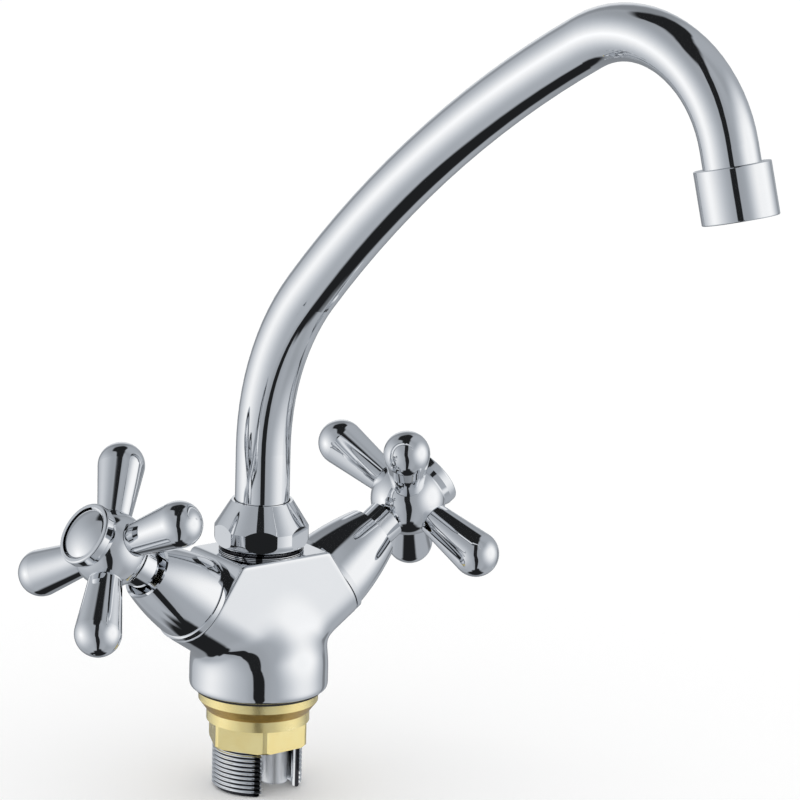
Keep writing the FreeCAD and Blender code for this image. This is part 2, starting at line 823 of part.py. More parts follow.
def make_tail():
    """The turned tail of the spout: two ring grooves, a collar that the nut holds down, and a socket."""
    floor = bore_floor + size("tail_floor_gap")
    outer = size("spout_bore_radius") - size("running_clearance")
    groove = size("spout_bore_radius") - size("thread_clearance") - size("spout_ring_section")*2
    lower = size("lower_groove_height")
    width = size("spout_ring_groove_width")
    upper = lower + size("groove_pitch")
    collar = size("tail_collar_radius")
    neck = size("tail_neck_radius")
    bore = size("tail_bore_radius")
    socket = tube_radius + size("braze_gap")
    collar_bottom = collar_bottom_height - floor
    collar_top = collar_top_height - floor
    neck_top = neck_top_height - floor
    socket_floor = tube_start_height - floor
    corners = [
        (bore, 0), (outer, 0), (outer, lower), (groove, lower), (groove, lower + width),
        (outer, lower + width), (outer, upper), (groove, upper), (groove, upper + width),
        (outer, upper + width), (outer, collar_bottom), (collar, collar_bottom), (collar, collar_top),
        (neck, collar_top), (neck, neck_top), (socket, neck_top), (socket, socket_floor),
        (bore, socket_floor),
    ]
    return turned("tail", corners, spout_frame(floor))


def make_spout_rings():
    section = size("spout_ring_section")
    centre = size("spout_bore_radius") - size("thread_clearance") - section
    lower = bore_floor + size("tail_floor_gap") + size("lower_groove_height")
    first = lower + size("spout_ring_groove_width")/2
    rings = []
    for number in range(2):
        place = spout_frame(first + size("groove_pitch")*number)
        rings.append(torus("spout_ring_%d" % (number + 1), centre, section, place))
    group = doc.addObject("Part::Compound", "spout_rings")
    group.Links = rings
    return group


keep(make_tube(), "spout_tube")
keep(make_tail(), "spout_tail")
keep(make_spout_rings(), "spout_o_rings")


# Outlet. Distances run down the spout's end from the top edge of its sleeve.


def outlet_frame():
    steps, direction = spout_route()
    tube_end = steps[-1][3]
    sleeve_top = tube_end - direction*size("tube_in_sleeve").value
    local = FreeCAD.Vector(sleeve_top.x, 0, sleeve_top.y + tube_start_height.value)
    down = FreeCAD.Vector(direction.x, 0, direction.y)
    return FreeCAD.Placement(spout_turn.multVec(local), FreeCAD.Rotation(UP, spout_turn.multVec(down)))


sleeve_stop_end = size("tube_in_sleeve") + size("sleeve_stop_length")
aerator_top = sleeve_stop_end + size("aerator_seal_thickness")
aerator_bottom = size("sleeve_length") - size("aerator_recess")
aerator_socket_radius = size("aerator_radius") + size("thread_clearance")
screen_radius = size("aerator_radius") - size("aerator_wall") - size("thread_clearance")
screen_bottom = aerator_top + size("screen_thickness")


def make_sleeve():
    outer = size("sleeve_radius")
    length = size("sleeve_length")
    edge = size("sleeve_edge_round")
    tube_socket = tube_radius + size("braze_gap")
    inner = aerator_socket_radius
    stop = size("sleeve_stop_radius")
    stop_start = size("tube_in_sleeve")
    corners = [
        (tube_socket, 0), (outer - edge, 0, edge, "left"), (outer, edge),
        (outer, length - edge, edge, "left"), (outer - edge, length), (inner + edge, length),
        (inner, length - edge), (inner, sleeve_stop_end), (stop, sleeve_stop_end), (stop, stop_start),
        (tube_socket, stop_start),
    ]
    return turned("outlet_sleeve", corners, outlet_frame())


def make_aerator():
    """A screw-in cup whose floor is a grid of round jets in two rings round a centre one."""
    radius = size("aerator_radius")
    inner = radius - size("aerator_wall")
    floor = aerator_bottom - size("aerator_floor")
    cup = turned("aerator_cup", [(0, floor), (inner, floor), (inner, aerator_top), (radius, aerator_top),
                                 (radius, aerator_bottom), (0, aerator_bottom)], outlet_frame())
    jets = []
    for circle, count in enumerate((1, 6, 12)):
        for number in range(count):
            place = outlet_frame()
            angle = math.radians(number*FULL_TURN/count)
            reach = circle*size("aerator_hole_pitch").value
            offset = FreeCAD.Vector(reach*math.cos(angle), reach*math.sin(angle), (floor - spare).value)
            place.Base = place.multVec(offset)
            jets.append(cylinder("jet_%d_%d" % (circle, number), size("aerator_hole_radius"),
                                 size("aerator_floor") + spare*2, place))
    return cut("aerator_body", cup, fused("jets", jets))


keep(make_sleeve(), "outlet_sleeve")
keep(ring("aerator_seal", size("aerator_radius"), size("aerator_seal_bore"), sleeve_stop_end, aerator_top,
          outlet_frame()), "aerator_seal")
keep(make_aerator(), "aerator_body")
keep(turned("screen", [(0, aerator_top), (screen_radius, aerator_top), (screen_radius, screen_bottom),
                       (0, screen_bottom)], outlet_frame()), "aerator_screen")


# Valve cartridges. Distances run out along the arm from where the arms meet.

seat_distance = size("valve_seat_distance")
disc_start = seat_distance + size("seal_height")
moving_disc_start = disc_start + size("disc_height")
driver_start = moving_disc_start + size("moving_disc_height")
driver_end = driver_start + size("driver_height")
flange_start = arm_end + size("flange_seal_height")
flange_end = flange_start + size("flange_height")
flange_seal_bore = size("valve_thread_radius") + size("thread_clearance")
moving_disc_radius = size("disc_radius") - size("thread_clearance")*2
neck_end = size("neck_end_distance")
clip_start = neck_end + size("clip_gap")
clip_bore = size("clip_groove_radius") + size("thread_clearance")
skirt_bore = size("disc_radius") + size("skirt_bore_clearance")
spindle_bore = size("spindle_radius") + size("spindle_clearance")


def half_moon_disc(name, radius, start, height, side, turn):
    """A ceramic disc with one half-moon port on the side given by turn."""
    body = doc.addObject("PartDesign::Body", name)
    sketch = body_sketch(body, name + "_outline", "XY_Plane")
    edge = size("disc_port_edge")
    port = size("disc_port_radius")
    half = root(port*port - edge*edge)
    rim = sketch.addGeometry(Part.Circle(FreeCAD.Vector(), UP, radius.value), False)
    sketch.addConstraint(Sketcher.Constraint("Coincident", rim, 3, -1, 1))
    number = sketch.addConstraint(Sketcher.Constraint("Radius", rim, radius.value))
    sketch.setExpression("Constraints[%d]" % number, radius.text)
    draw_outline(sketch, [(edge, -half, port, "left"), (edge, half)])
    pad = body.newObject("PartDesign::Pad", name + "_pad")
    pad.Profile = sketch
    pad.setExpression("Length", height.text)
    body.Placement = arm_frame(side, start, turn)
    return body


def make_cartridge_body(word, side):
    """The brass headwork: a slotted skirt round the discs, a thread, a hexagon and a long neck."""
    skirt = size("skirt_radius")
    thread = size("valve_thread_radius")
    neck = size("neck_radius")
    skirt_start = seat_distance + size("skirt_start")
    thread_start = valve_thread_start + size("skirt_gap")
    chamber_end = driver_end + size("skirt_gap")
    flange = size("flange_across_flats")/root(as_size(3))
    name = word + "_cartridge"
    turned_part = turned(name + "_turned", [
        (skirt_bore, skirt_start), (skirt, skirt_start), (skirt, thread_start), (thread, thread_start),
        (thread, flange_start), (flange, flange_start), (flange, flange_end), (neck, flange_end),
        (neck, neck_end), (spindle_bore, neck_end), (spindle_bore, chamber_end), (skirt_bore, chamber_end),
    ], arm_frame(side))
    place = arm_frame(side, flange_start)
    hexagonal = hexagon(name + "_hexagon", size("flange_across_flats"), size("flange_height"), place)
    corner_blank = cylinder(name + "_corner_blank", flange + spare, size("flange_height"), place)
    waste = cut(name + "_corner_waste", corner_blank, hexagonal)
    window = doc.addObject("Part::Box", name + "_window")
    width = size("window_width")
    bind(window, {"Length": (skirt + spare)*2, "Width": width, "Height": size("window_height")})
    place = arm_frame(side, moving_disc_start)
    place.Base = place.multVec(FreeCAD.Vector(-(skirt + spare).value, -width.value/2, 0))
    window.Placement = place
    return cut(name + "_shape", turned_part, fused(name + "_waste", [waste, window]))


def make_shroud(side, name):
    """The barrel-shaped cover over the cartridge, with a foot ring and an inner web on the neck."""
    foot = size("shroud_foot_radius")
    foot_top = arm_end + size("shroud_foot_height")
    web = size("shroud_web_distance")
    web_top = web + size("shroud_web_height")
    end = size("shroud_end_distance")
    radius = size("shroud_radius")
    mouth = size("shroud_mouth_radius")
    outside = size("shroud_curve_radius")
    inside = outside - size("shroud_wall")
    taper = radius - mouth
    rise = end - foot_top
    chord = root(taper*taper + rise*rise)
    sag_reach = root(outside*outside - chord*chord/4)
    centre_across = (radius + mouth)/2 - rise/chord*sag_reach
    centre_along = (foot_top + end)/2 - taper/chord*sag_reach

    def inside_at(distance):
        along = distance - centre_along
        return centre_across + root(inside*inside - along*along)

    neck = size("neck_radius") + size("thread_clearance")
    corners = [
        (inside_at(foot_top), arm_end), (foot, arm_end), (foot, foot_top),
        (radius, foot_top, outside, "left"), (mouth, end), (inside_at(end), end, inside, "right"),
        (inside_at(web_top), web_top), (neck, web_top), (neck, web),
        (inside_at(web), web, inside, "right"), (inside_at(foot_top), foot_top),
    ]
    return turned(name, corners, arm_frame(side))


def make_spindle(word, side):
    """The stainless spindle: a driver on the moving disc, two ring grooves, a clip groove and splines."""
    radius = size("spindle_radius")
    groove = spindle_bore - size("spindle_clearance")/2 - size("spindle_ring_section")*2
    width = size("spindle_ring_groove_width")
    first = size("spindle_ring_distance")
    second = first + size("spindle_ring_pitch")
    clip_top = clip_start + size("clip_thickness")
    clip_groove = size("clip_groove_radius")
    spline = size("spline_radius")
    start = size("hub_barrel_start") - size("spline_shoulder_gap")
    end = size("spline_end")
    tapped = size("screw_radius") + size("thread_clearance")
    depth = end - size("screw_length")
    name = word + "_spindle"
    blank = turned(name + "_turned", [
        (0, driver_start), (size("driver_radius"), driver_start), (size("driver_radius"), driver_end),
        (radius, driver_end), (radius, first), (groove, first), (groove, first + width),
        (radius, first + width), (radius, second), (groove, second), (groove, second + width),
        (radius, second + width),
        (radius, clip_start), (clip_groove, clip_start), (clip_groove, clip_top), (radius, clip_top),
        (radius, start), (spline, start), (spline, end), (tapped, end), (tapped, depth), (0, depth),
    ], handle_frame(word, side))
    notches = []
    notch_radius = spline - size("spline_root_radius")
    count = int(size("spline_count").value)
    for number in range(count):
        place = handle_frame(word, side, start)
        angle = math.radians(number*FULL_TURN/count)
        offset = FreeCAD.Vector(math.cos(angle), math.sin(angle), 0)*spline.value
        place.Base = place.multVec(offset)
        notches.append(cylinder("%s_notch_%d" % (name, number), notch_radius, end - start + spare, place))
    return cut(name + "_shape", blank, fused(name + "_notches", notches))


def handle_frame(word, side, distance=0.0):
    """The arm's frame turned with its handle, which stands at its own angle at rest."""
    return arm_frame(side, distance, size(word + "_handle_angle").value)


def make_spindle_rings(word, side):
    section = size("spindle_ring_section")
    centre = spindle_bore - size("spindle_clearance")/2 - section
    first = size("spindle_ring_distance") + size("spindle_ring_groove_width")/2
    rings = []
    for number in range(2):
        place = handle_frame(word, side, first + size("spindle_ring_pitch")*number)
        rings.append(torus("%s_spindle_ring_%d" % (word, number + 1), centre, section, place))
    group = doc.addObject("Part::Compound", word + "_spindle_rings")
    group.Links = rings
    return group


def make_hub(word, side):
    """The ball-shaped hub: a barrel behind, a rim in front for the cap, and four flats for the arms."""
    centre = size("hub_distance")
    ball = size("hub_radius")
    barrel = size("hub_barrel_radius")
    start = size("hub_barrel_start")
    rim = size("hub_rim_radius")
    waist = size("hub_waist_radius")
    rim_top = centre + size("hub_rim_height")
    rim_round = size("hub_rim_round")
    recess = size("cap_radius") + size("cap_clearance")
    recess_floor = rim_top - size("cap_seat_depth")
    well = size("screw_well_radius")
    web_bottom = size("spline_end") + size("socket_end_gap")
    web_top = web_bottom + size("hub_web_height")
    hole = size("screw_radius") + size("socket_clearance")*2
    socket = size("spline_radius") + size("socket_clearance")
    behind = centre - root(ball*ball - barrel*barrel)
    front = centre + root(ball*ball - waist*waist)
    rim_foot = rim_top - size("hub_rim_side_height")
    corners = [
        (socket, start), (barrel, start), (barrel, behind, ball, "left"), (waist, front), (rim, rim_foot),
        (rim, rim_top - rim_round, rim_round, "left"), (rim - rim_round, rim_top), (recess, rim_top),
        (recess, recess_floor), (well, recess_floor), (well, web_top), (hole, web_top), (hole, web_bottom),
        (socket, web_bottom),
    ]
    name = word + "_hub"
    blank = turned(name + "_turned", corners, handle_frame(word, side))
    tools = []
    seat = size("handle_arm_seat")
    clearance = size("thread_clearance")
    stub = size("handle_arm_stub_length") + size("handle_arm_seam")
    for number in range(int(size("handle_arm_count").value)):
        place = spoke_frame(word, side, number)
        tools.append(cylinder("%s_seat_%d" % (name, number), size("handle_arm_root_radius") + clearance,
                              ball - seat + spare, place.multiply(standing(seat))))
        tools.append(cylinder("%s_socket_%d" % (name, number), size("handle_arm_stub_radius") + clearance,
                              stub + spare, place.multiply(standing(seat - stub))))
    return cut(name + "_shape", blank, fused(name + "_seats", tools))


def spoke_frame(word, side, number):
    """The frame of one handle arm: its own Z runs out from the hub's centre."""
    turn = size(word + "_handle_angle").value + number*FULL_TURN/size("handle_arm_count").value
    place = arm_frame(side, size("hub_distance"), turn)
    return FreeCAD.Placement(place.Base, place.Rotation.multiply(FreeCAD.Rotation(ACROSS, RIGHT_ANGLE)))


def make_handle_arms(word, side):
    """Four tapered arms with ball ends, each screwed into the hub by a stub."""
    seat = size("handle_arm_seat")
    rest = size("handle_arm_root_radius")
    tip = size("handle_arm_tip_radius")
    centre = size("handle_arm_tip_distance")
    stub = size("handle_arm_stub_radius")
    seam = size("handle_arm_seam")
    stub_start = seat - size("handle_arm_stub_length")
    slope = (tip - rest)/(centre - seat)
    lean = root(slope*slope + 1)
    joint_radius = tip/lean
    joint_height = centre - tip*slope/lean
    corners = [
        (0, stub_start), (stub, stub_start), (stub, seat), (rest - seam, seat), (rest, seat + seam),
        (joint_radius, joint_height, tip, "left"), (0, centre + tip),
    ]
    spokes = []
    for number in range(int(size("handle_arm_count").value)):
        spokes.append(turned("%s_arm_%d" % (word, number + 1), corners, spoke_frame(word, side, number)))
    group = doc.addObject("Part::Compound", word + "_arms")
    group.Links = spokes
    return group


def make_cap(word, side):
    """The dished cap that closes the hub over the screw, left plain."""
    radius = size("cap_radius")
    bottom = size("hub_distance") + size("hub_rim_height") - size("cap_seat_depth")
    rim = bottom + size("cap_rim_height")
    inner = radius - size("cap_rim_width")
    depth = size("cap_dish_depth")
    dish = (inner*inner + depth*depth)/(depth*2)
    return turned(word + "_cap", [(0, bottom), (radius, bottom), (radius, rim), (inner, rim, dish, "right"),
                                  (0, rim - depth)], handle_frame(word, side))


def make_screw(word, side):
    head_bottom = size("spline_end") + size("socket_end_gap") + size("hub_web_height")
    head_top = head_bottom + size("screw_head_height")
    bottom = head_bottom - size("screw_length")
    shaft = size("screw_radius")
    head = size("screw_head_radius")
    name = word + "_screw"
    blank = turned(name + "_turned", [
        (0, bottom), (shaft, bottom), (shaft, head_bottom), (head, head_bottom), (head, head_top),
        (0, head_top),
    ], handle_frame(word, side))
    slot = doc.addObject("Part::Box", name + "_slot")
    bind(slot, {"Length": (head + spare)*2, "Width": size("screw_slot_width"),
                "Height": size("screw_slot_depth") + spare})
    place = handle_frame(word, side, head_top - size("screw_slot_depth"))
    place.Base = place.multVec(FreeCAD.Vector(-(head + spare).value, -size("screw_slot_width").value/2, 0))
    slot.Placement = place
    return cut(name + "_shape", blank, slot)


for word, side in SIDES:
    clip_end = clip_start + size("clip_thickness")
    keep(ring(word + "_seat_ring", size("seal_radius"), size("seal_bore_radius"), seat_distance,
              disc_start, arm_frame(side)), word + "_seat_seal")
    keep(half_moon_disc(word + "_lower_disc", size("disc_radius"), disc_start, size("disc_height"),
                        side, 0.0), word + "_fixed_disc")
    keep(half_moon_disc(word + "_upper_disc", moving_disc_radius, moving_disc_start,
                        size("moving_disc_height"), side, FULL_TURN/2), word + "_moving_disc")
    keep(make_cartridge_body(word, side), word + "_cartridge_body")
    keep(ring(word + "_flange_washer", size("flange_seal_radius"), flange_seal_bore, arm_end,
              flange_start, arm_frame(side)), word + "_flange_seal")
    keep(make_shroud(side, word + "_barrel"), word + "_shroud")
    keep(make_spindle(word, side), word + "_spindle")
    keep(make_spindle_rings(word, side), word + "_spindle_o_rings")
    keep(ring(word + "_clip", size("clip_radius"), clip_bore, clip_start, clip_end,
              handle_frame(word, side)), word + "_spindle_clip")
    keep(make_hub(word, side), word + "_handle_hub")
    keep(make_handle_arms(word, side), word + "_handle_arms")
    keep(make_screw(word, side), word + "_handle_screw")
    keep(make_cap(word, side), word + "_index_cap")


# Check and write

doc.recompute()
for obj in doc.Objects:
    if "Invalid" in obj.State or "Error" in obj.State:
        raise RuntimeError("%s failed: %s" % (obj.Name, obj.State))
for obj in sub_parts:
    if obj.Shape.isNull() or not obj.Shape.isValid():
        raise RuntimeError("%s has no valid shape" % obj.Label)

os.makedirs("parts", exist_ok=True)
for obj in sub_parts:
    obj.Shape.exportStep("parts/%s.step" % obj.Label)
    print("%-24s %d solids %10.1f mm3" % (obj.Label, len(obj.Shape.Solids), obj.Shape.Volume))
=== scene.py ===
import json
import math

import bmesh
import bpy
from mathutils import Matrix, Vector


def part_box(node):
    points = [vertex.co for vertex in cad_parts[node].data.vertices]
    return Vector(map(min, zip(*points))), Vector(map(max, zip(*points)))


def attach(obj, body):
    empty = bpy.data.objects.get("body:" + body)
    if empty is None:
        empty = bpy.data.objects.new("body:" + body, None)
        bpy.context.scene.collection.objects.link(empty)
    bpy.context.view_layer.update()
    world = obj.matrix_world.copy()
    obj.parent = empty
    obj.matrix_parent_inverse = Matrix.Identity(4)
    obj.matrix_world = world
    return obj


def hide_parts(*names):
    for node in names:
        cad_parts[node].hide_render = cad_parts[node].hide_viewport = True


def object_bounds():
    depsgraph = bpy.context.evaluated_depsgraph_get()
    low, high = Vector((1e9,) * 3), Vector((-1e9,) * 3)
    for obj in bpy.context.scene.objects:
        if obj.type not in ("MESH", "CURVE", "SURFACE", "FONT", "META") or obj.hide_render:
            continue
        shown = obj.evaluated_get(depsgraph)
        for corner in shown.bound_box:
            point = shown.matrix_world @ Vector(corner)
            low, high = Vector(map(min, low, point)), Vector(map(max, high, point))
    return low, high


# Kitchen mixer tap. Metres. The origin is the centre of the body's underside, +Z is up, -Y is the front.

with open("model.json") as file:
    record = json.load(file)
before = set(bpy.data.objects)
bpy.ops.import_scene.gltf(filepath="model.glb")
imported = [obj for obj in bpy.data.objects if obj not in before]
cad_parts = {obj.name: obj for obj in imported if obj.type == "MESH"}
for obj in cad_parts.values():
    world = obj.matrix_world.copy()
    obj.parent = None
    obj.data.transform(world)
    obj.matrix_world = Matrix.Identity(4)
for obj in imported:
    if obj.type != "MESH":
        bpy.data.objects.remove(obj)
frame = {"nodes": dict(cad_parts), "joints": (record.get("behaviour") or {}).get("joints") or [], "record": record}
cad_low, cad_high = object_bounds()

MM = 0.001

# The pieces that stand for CAD nodes lie this far inside the faces that other pieces touch
INSET = 0.02*MM


# Node trees, of the materials and of the world

class Nodes:
    """Short calls that add nodes to a tree. A value is a constant or another node's output."""

    def __init__(self, tree):
        self.tree = tree

    def connect(self, node, values):
        """Gives each input of a node, by its name or number, its value."""
        for name, value in values.items():
            if isinstance(value, bpy.types.NodeSocket):
                self.tree.links.new(value, node.inputs[name])
            else:
                node.inputs[name].default_value = value

    def add(self, kind, values, **settings):
        node = self.tree.nodes.new("ShaderNode" + kind)
        for name, setting in settings.items():
            setattr(node, name, setting)
        self.connect(node, values)
        return node

    def math(self, operation, first, *others):
        """Arithmetic on one or more values, from left to right."""
        if not others:
            return self.add("Math", {0: first}, operation=operation).outputs[0]
        for other in others:
            first = self.add("Math", {0: first, 1: other}, operation=operation).outputs[0]
        return first

    def ramp(self, value, at_low, at_high, low=0.3, high=0.7, kind="LINEAR"):
        """Runs from one result, up to the low value, to another one, from the high value on."""
        node = self.add("MapRange", {"Value": value, "From Min": low, "From Max": high, "To Min": at_low,
                                     "To Max": at_high}, interpolation_type=kind, clamp=True)
        return node.outputs["Result"]

    def smooth(self, value, zero_at, one_at):
        return self.ramp(value, 0.0, 1.0, zero_at, one_at, "SMOOTHSTEP")

    def between(self, value, low, high, fade_below, fade_above):
        """1 between two values and 0 outside them, with a fade next to each."""
        above_low = self.ramp(value, 0.0, 1.0, low - fade_below, low)
        below_high = self.ramp(value, 1.0, 0.0, high, high + fade_above)
        return self.math("MULTIPLY", above_low, below_high)

    def curve(self, value, limit, points):
        """A smooth curve through points (angle, result), for angles from -limit to limit."""
        results = [result for angle, result in points]
        low, high = min(results), max(results)
        places = [((angle + limit)/(2*limit), (result - low)/(high - low)) for angle, result in points]
        node = self.add("FloatCurve", {"Value": self.ramp(value, 0.0, 1.0, -limit, limit)})
        line = node.mapping.curves[0]
        line.points[0].location = places[0]
        line.points[-1].location = places[-1]
        for place in places[1:-1]:
            line.points.new(*place)
        for point in line.points:
            point.handle_type = "AUTO_CLAMPED"
        node.mapping.update()
        return self.ramp(node.outputs["Value"], low, high, 0.0, 1.0)

    def mix(self, factor, first, second):
        """Runs from one colour to another, each a constant (red, green, blue) or an output."""
        colours = [colour if isinstance(colour, bpy.types.NodeSocket) else (*colour, 1.0)
                   for colour in (first, second)]
        node = self.add("Mix", {"Factor": factor, "A": colours[0], "B": colours[1]}, data_type="RGBA")
        return node.outputs["Result"]

    def place(self):
        """The place on the piece at rest, in its own metres."""
        return self.add("TexCoord", {}).outputs["Object"]

    def noise(self, per_metre, detail=2.0, roughness=0.5, density=None):
        """Noise with this many cells per metre, times the density along each axis."""
        place = self.place()
        if density:
            place = self.add("Mapping", {"Vector": place, "Scale": density}).outputs["Vector"]
        node = self.add("TexNoise", {"Vector": place, "Scale": per_metre, "Detail": detail,
                                     "Roughness": roughness})
        return node.outputs["Fac"]

    def bump(self, height, strength, distance):
        node = self.add("Bump", {"Height": height, "Strength": strength, "Distance": distance})
        return node.outputs["Normal"]


class Finish(Nodes):
    """A material and the calls that build it."""

    def __init__(self, name):
        self.material = bpy.data.materials.new(name)
        self.material.use_nodes = True
        super().__init__(self.material.node_tree)

    def dress(self, values):
        """Sets the shader's inputs and gives the material."""
        self.connect(self.tree.nodes["Principled BSDF"], values)
        return self.material


# Materials

CHROME_TONES = ((0.83, 0.845, 0.865), (0.87, 0.88, 0.895))
SATIN_TONES = ((0.90, 0.91, 0.93), (0.95, 0.96, 0.97))
# Painted shade: near-black chrome for the thread's roots and the collar under the spout nut, where shade falls
PAINTED_SHADE_COLOUR = (0.03, 0.03, 0.035)
BRASS_TONES = ((0.94, 0.77, 0.34), (1.0, 0.87, 0.44))
# Painted shade: brown for the washer's downward-facing band, which lies in shade
SHADED_BRASS_COLOUR = (0.66, 0.43, 0.12)
RUBBER_TONES = ((0.012, 0.012, 0.013), (0.030, 0.030, 0.032))
PLASTIC_TONES = ((0.78, 0.78, 0.76), (0.86, 0.86, 0.84))
STEEL_TONES = ((0.58, 0.58, 0.57), (0.70, 0.70, 0.69))
CERAMIC_TONES = ((0.84, 0.83, 0.80), (0.90, 0.89, 0.86))
# The heights between which the washer carries painted shade
WASHER_SHADE_HEIGHTS = (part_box("cone_washer")[0].z, -4.7*MM)


def chrome(name="polished_chrome", painted_shade_ring=None):
    """Polished chrome, optionally with painted shade: near black in a ring that is described as in ring_mask."""
    finish = Finish(name)
    broad = finish.noise(per_metre=60.0, detail=3.0)
    fine = finish.noise(per_metre=900.0, detail=4.0, roughness=0.6)
    colour = finish.mix(broad, *CHROME_TONES)
    if painted_shade_ring:
        colour = finish.mix(ring_mask(finish, **painted_shade_ring), colour, PAINTED_SHADE_COLOUR)
    return finish.dress({
        "Base Color": colour,
        "Metallic": 1.0,
        "Roughness": finish.ramp(fine, 0.02, 0.055),
        "Normal": finish.bump(broad, 0.04, 0.6*MM),
    })


def ring_mask(finish, inner, outer, low, high, fade):
    """1 round the Z axis between two radii and two heights, fading before the outer one, and 0 elsewhere."""
    place = finish.place()
    height = finish.add("SeparateXYZ", {"Vector": place}).outputs["Z"]
    flat = finish.add("VectorMath", {0: place, 1: (1.0, 1.0, 0.0)}, operation="MULTIPLY").outputs["Vector"]
    radius = finish.add("VectorMath", {0: flat}, operation="LENGTH").outputs["Value"]
    across = finish.between(radius, inner, outer - fade, fade_below=0.2*MM, fade_above=fade)
    upward = finish.between(height, low, high, fade_below=0.1*MM, fade_above=0.1*MM)
    return finish.math("MULTIPLY", across, upward)


def satin_chrome():
    """Plain drawn tube, plated without polishing."""
    finish = Finish("satin_chrome")
    grain = finish.noise(per_metre=800.0, detail=4.0, roughness=0.6, density=(1.0, 1.0, 0.15))
    return finish.dress({
        "Base Color": finish.mix(grain, *SATIN_TONES),
        "Metallic": 0.8,
        "Roughness": finish.ramp(grain, 0.30, 0.42),
        "Normal": finish.bump(grain, 0.1, 0.04*MM),
    })


def brass(name="raw_brass", shade_heights=None):
    """Turned brass, optionally with painted shade: browned between two heights."""
    finish = Finish(name)
    broad = finish.noise(per_metre=120.0, detail=4.0, roughness=0.6)
    turned = finish.noise(per_metre=1400.0, detail=3.0, roughness=0.6, density=(1.0, 1.0, 9.0))
    colour = finish.mix(finish.ramp(broad, 0.0, 1.0), *BRASS_TONES)
    if shade_heights:
        height = finish.add("SeparateXYZ", {"Vector": finish.place()}).outputs["Z"]
        painted_shade_mask = finish.between(height, *shade_heights, fade_below=0.3*MM, fade_above=0.4*MM)
        colour = finish.mix(painted_shade_mask, colour, SHADED_BRASS_COLOUR)
    return finish.dress({
        "Base Color": colour,
        "Metallic": 0.8,
        "Roughness": finish.ramp(broad, 0.16, 0.28),
        "Normal": finish.bump(turned, 0.25, 0.06*MM),
    })


def rubber():
    finish = Finish("black_rubber")
    grain = finish.noise(per_metre=1500.0, detail=4.0, roughness=0.6)
    return finish.dress({
        "Base Color": finish.mix(grain, *RUBBER_TONES),
        "Roughness": finish.ramp(grain, 0.5, 0.75),
        "Normal": finish.bump(grain, 0.3, 0.05*MM),
    })


def plastic():
    finish = Finish("white_plastic")
    grain = finish.noise(per_metre=900.0, detail=3.0)
    return finish.dress({
        "Base Color": finish.mix(grain, *PLASTIC_TONES),
        "Roughness": finish.ramp(grain, 0.3, 0.45),
        "Normal": finish.bump(grain, 0.15, 0.03*MM),
    })


def steel():
    finish = Finish("stainless_steel")
    turned = finish.noise(per_metre=700.0, detail=4.0, roughness=0.6, density=(1.0, 1.0, 14.0))
    return finish.dress({
        "Base Color": finish.mix(turned, *STEEL_TONES),
        "Metallic": 1.0,
        "Roughness": finish.ramp(turned, 0.18, 0.32),
        "Normal": finish.bump(turned, 0.2, 0.03*MM),
    })


def ceramic():
    finish = Finish("white_ceramic")
    grain = finish.noise(per_metre=2200.0, detail=2.0)
    return finish.dress({
        "Base Color": finish.mix(grain, *CERAMIC_TONES),
        "Roughness": finish.ramp(grain, 0.12, 0.2),
        "Normal": finish.bump(grain, 0.05, 0.02*MM),
    })


MATERIALS = {
    "polished_chrome": chrome(), "raw_brass": brass(), "black_rubber": rubber(),
    "white_plastic": plastic(), "stainless_steel": steel(), "white_ceramic": ceramic(),
}


def dress_frame():
    """Gives every CAD node the finish of its slot in the record, and three of them a kind of their own."""
    satin = satin_chrome()
    own = {
        "hot_inlet_tube": satin,
        "cold_inlet_tube": satin,
        # The washer's brass carries painted shade on its lower band
        "cone_washer": brass("washer_brass", WASHER_SHADE_HEIGHTS),
    }
    for part in frame["record"]["subparts"]:
        mesh = frame["nodes"][part["node"]].data
        mesh.materials.clear()
        mesh.materials.append(own.get(part["node"], MATERIALS[part["material_slot"]]))


dress_frame()


# Mesh helpers

def new_piece(name, mesh):
    """Turns a bmesh into an object of the scene."""
    data = bpy.data.meshes.new(name)
    mesh.to_mesh(data)
    mesh.free()
    piece = bpy.data.objects.new(name, data)
    bpy.context.scene.collection.objects.link(piece)
    return piece


def combine(piece, operation, tool):
    """Adds the tool to the piece, or cuts it away, and removes the tool."""
    modifier = piece.modifiers.new("combine", "BOOLEAN")
    modifier.operation = operation
    modifier.solver = "EXACT"
    modifier.object = tool
    bpy.context.view_layer.update()
    evaluated = piece.evaluated_get(bpy.context.evaluated_depsgraph_get())
    data = bpy.data.meshes.new_from_object(evaluated)
    piece.modifiers.clear()
    piece.data = data
    bpy.data.objects.remove(tool)


def turned_rings(mesh, outline, around, place=Matrix.Identity(4)):
    """A ring of vertices round the Z axis, or the axis of a place, for each point (radius, height)."""
    rings = []
    for radius, height in outline:
        ring = []
        for step in range(around):
            angle = 2*math.pi*step/around
            point = Vector((radius*math.cos(angle), radius*math.sin(angle), height))
            ring.append(mesh.verts.new(place @ point))
        rings.append(ring)
    return rings


def join_rings(mesh, rings):
    """Faces between each ring of vertices and the next one."""
    for ring, above in zip(rings, rings[1:]):
        for step in range(len(ring)):
            after = (step + 1) % len(ring)
            mesh.faces.new((ring[step], ring[after], above[after], above[step]))


def close_ends(mesh, rings, bottom, top):
    """Faces from the first ring to a point at the bottom, and from the last ring to one at the top."""
    low, high = mesh.verts.new(bottom), mesh.verts.new(top)
    for step in range(len(rings[0])):
        after = (step + 1) % len(rings[0])
        mesh.faces.new((low, rings[0][after], rings[0][step]))
        mesh.faces.new((high, rings[-1][step], rings[-1][after]))


def solid_cylinder(name, radius, low, high, place=Matrix.Identity(4)):
    mesh = bmesh.new()
    centre = place @ Matrix.Translation((0.0, 0.0, (low + high)/2))
    bmesh.ops.create_cone(mesh, cap_ends=True, segments=96, radius1=radius, radius2=radius,
                          depth=high - low, matrix=centre)
    return new_piece(name, mesh)


